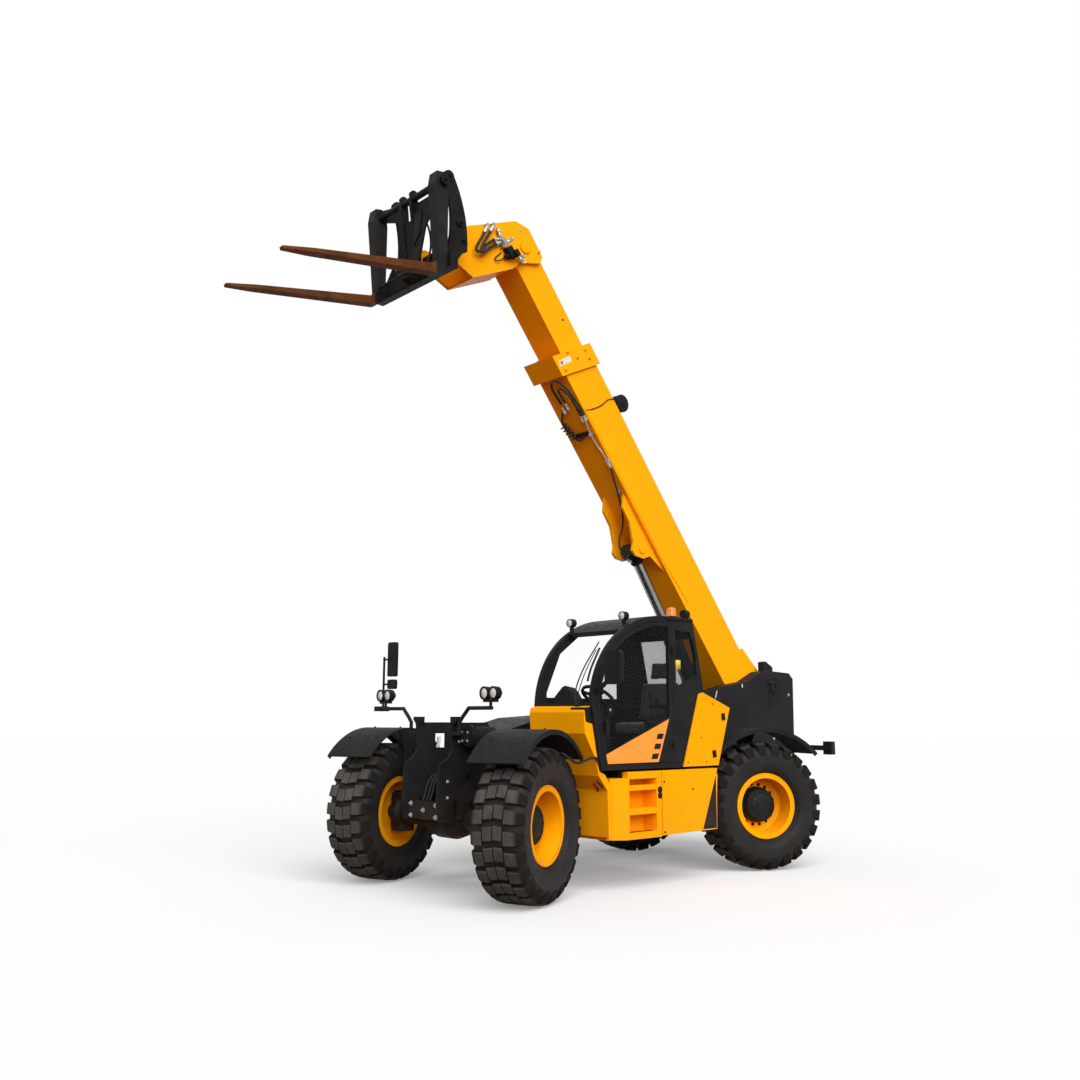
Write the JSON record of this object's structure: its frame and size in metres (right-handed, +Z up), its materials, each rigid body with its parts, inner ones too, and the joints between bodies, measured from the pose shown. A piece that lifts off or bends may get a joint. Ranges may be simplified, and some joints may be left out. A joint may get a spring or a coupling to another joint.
{
  "type": "telehandler",
  "caption": "Heavy telescopic handler with a lifting, extending boom, tilting pallet forks, four steered wheels, side cab with a hinged door and a hinged engine hood.",
  "frame": {"origin": "on the ground, under the middle of the whole machine's box", "axes": "+X forwards towards the forks, +Y to the machine's left (cab side), +Z up"},
  "size_m": [7.66, 3.1029, 7.1099],
  "materials": {
    "beacon_orange": "translucent",
    "black_paint": "satin",
    "chrome_rod": "polished",
    "dark_glass": "tinted",
    "engine_grey": "matte",
    "fender_plastic": "matte",
    "fork_steel": "rough",
    "glass": "clear",
    "grey_paint": "satin",
    "interior_plastic": "matte",
    "lamp_black": "gloss",
    "rim_paint": "satin",
    "seat_cloth": "matte",
    "tyre_rubber": "matte",
    "yellow_paint": "gloss"
  },
  "bodies": {
    "chassis": {"main_frame": "black_paint", "front_axle": "black_paint", "rear_axle": "black_paint", "cab_shell": "grey_paint", "windscreen": "glass", "quarter_glass": "dark_glass", "right_glass": "glass", "back_glass": "glass", "seat": "seat_cloth", "console": "interior_plastic", "front_cowl": "yellow_paint", "step_box": "yellow_paint", "side_panel_lower": "yellow_paint", "side_panel_upper": "yellow_paint", "engine_bay": "black_paint", "engine_block": "engine_grey", "front_lamp_left": "lamp_black", "front_lamp_right": "lamp_black", "filter_canister": "black_paint", "mirror_left": "lamp_black", "mirror_right": "lamp_black", "roof_lamps": "lamp_black", "rear_lamps": "lamp_black", "beacon": "beacon_orange"},
    "door": {"door_frame": "grey_paint", "door_glass": "dark_glass"},
    "hood": {"engine_hood": "grey_paint"},
    "boom": {"boom_outer": "yellow_paint", "cable_reel": "lamp_black"},
    "boom_extension": {"boom_inner": "yellow_paint"},
    "carriage": {"fork_carriage": "grey_paint", "fork_left": "fork_steel", "fork_right": "fork_steel"},
    "lift_cylinder": {"lift_barrel": "black_paint"},
    "lift_piston": {"lift_rod": "chrome_rod"},
    "knuckle_fl": {"knuckle_fl": "black_paint", "fender_fl": "fender_plastic"},
    "wheel_fl": {"tyre_fl": "tyre_rubber", "rim_fl": "rim_paint"},
    "knuckle_fr": {"knuckle_fr": "black_paint", "fender_fr": "fender_plastic"},
    "wheel_fr": {"tyre_fr": "tyre_rubber", "rim_fr": "rim_paint"},
    "knuckle_rl": {"knuckle_rl": "black_paint", "fender_rl": "fender_plastic"},
    "wheel_rl": {"tyre_rl": "tyre_rubber", "rim_rl": "rim_paint"},
    "knuckle_rr": {"knuckle_rr": "black_paint", "fender_rr": "fender_plastic"},
    "wheel_rr": {"tyre_rr": "tyre_rubber", "rim_rr": "rim_paint"}
  },
  "joints": [
    {"name": "steer_fl", "type": "hinge", "parent": "chassis", "child": "knuckle_fl", "pos_m": [1.455, 0.88, 0.693], "axis": [0, 0, 1], "range_deg": [-56, 14]},
    {"name": "roll_fl", "type": "hinge", "parent": "knuckle_fl", "child": "wheel_fl", "pos_m": [1.3887, 1.05271, 0.693], "axis": [-0.3584, 0.9336, 0], "continuous": true},
    {"name": "steer_fr", "type": "hinge", "parent": "chassis", "child": "knuckle_fr", "pos_m": [1.455, -0.88, 0.693], "axis": [0, 0, 1], "range_deg": [-48, 12]},
    {"name": "roll_fr", "type": "hinge", "parent": "knuckle_fr", "child": "wheel_fr", "pos_m": [1.51217, -1.05594, 0.693], "axis": [-0.309, 0.9511, 0], "continuous": true},
    {"name": "steer_rl", "type": "hinge", "parent": "chassis", "child": "knuckle_rl", "pos_m": [-2.155, 0.88, 0.693], "axis": [0, 0, 1], "range_deg": [-10, 60]},
    {"name": "roll_rl", "type": "hinge", "parent": "knuckle_rl", "child": "wheel_rl", "pos_m": [-2.07682, 1.04767, 0.693], "axis": [0.4226, 0.9063, 0], "continuous": true},
    {"name": "steer_rr", "type": "hinge", "parent": "chassis", "child": "knuckle_rr", "pos_m": [-2.155, -0.88, 0.693], "axis": [0, 0, 1], "range_deg": [-8.8, 52.8]},
    {"name": "roll_rr", "type": "hinge", "parent": "knuckle_rr", "child": "wheel_rr", "pos_m": [-2.2243, -1.05153, 0.693], "axis": [0.3746, 0.9272, 0], "continuous": true},
    {"name": "boom_lift", "type": "hinge", "parent": "chassis", "child": "boom", "pos_m": [-3.35, 0, 2.06], "axis": [0, -1, 0], "range_deg": [-54, 8.9]},
    {"name": "boom_telescope", "type": "slide", "parent": "boom", "child": "boom_extension", "axis": [-0.628, 0, -0.7782], "range_m": [-2.9, 1]},
    {"name": "fork_tilt", "type": "hinge", "parent": "boom_extension", "child": "carriage", "pos_m": [1.78004, 0, 6.40996], "axis": [0, -1, 0], "range_deg": [-32, 78]},
    {"name": "lift_cylinder_pivot", "type": "hinge", "parent": "chassis", "child": "lift_cylinder", "pos_m": [-2.95, 0, 1.05], "axis": [0, -1, 0], "range_deg": [-49.61, 8.59]},
    {"name": "lift_rod_slide", "type": "slide", "parent": "lift_cylinder", "child": "lift_piston", "axis": [0.5679, 0, 0.8231], "range_m": [-1.0184, 0.1762]},
    {"name": "cab_door", "type": "hinge", "parent": "chassis", "child": "door", "pos_m": [-0.44, 1.234, 1.36], "axis": [0, 0, 1], "range_deg": [0, 80]},
    {"name": "engine_hood_hinge", "type": "hinge", "parent": "chassis", "child": "hood", "pos_m": [-1.32, -0.55, 1.7], "axis": [0, -1, 0], "range_deg": [0, 50]}
  ],
  "couplings": [
    {"joint": "steer_fr", "follows": "steer_fl", "ratio": 0.85714},
    {"joint": "steer_rr", "follows": "steer_rl", "ratio": 0.88},
    {"joint": "lift_cylinder_pivot", "follows": "boom_lift", "ratio": 0.9095},
    {"joint": "lift_rod_slide", "follows": "boom_lift", "m_per_rad": 1.0699}
  ]
}
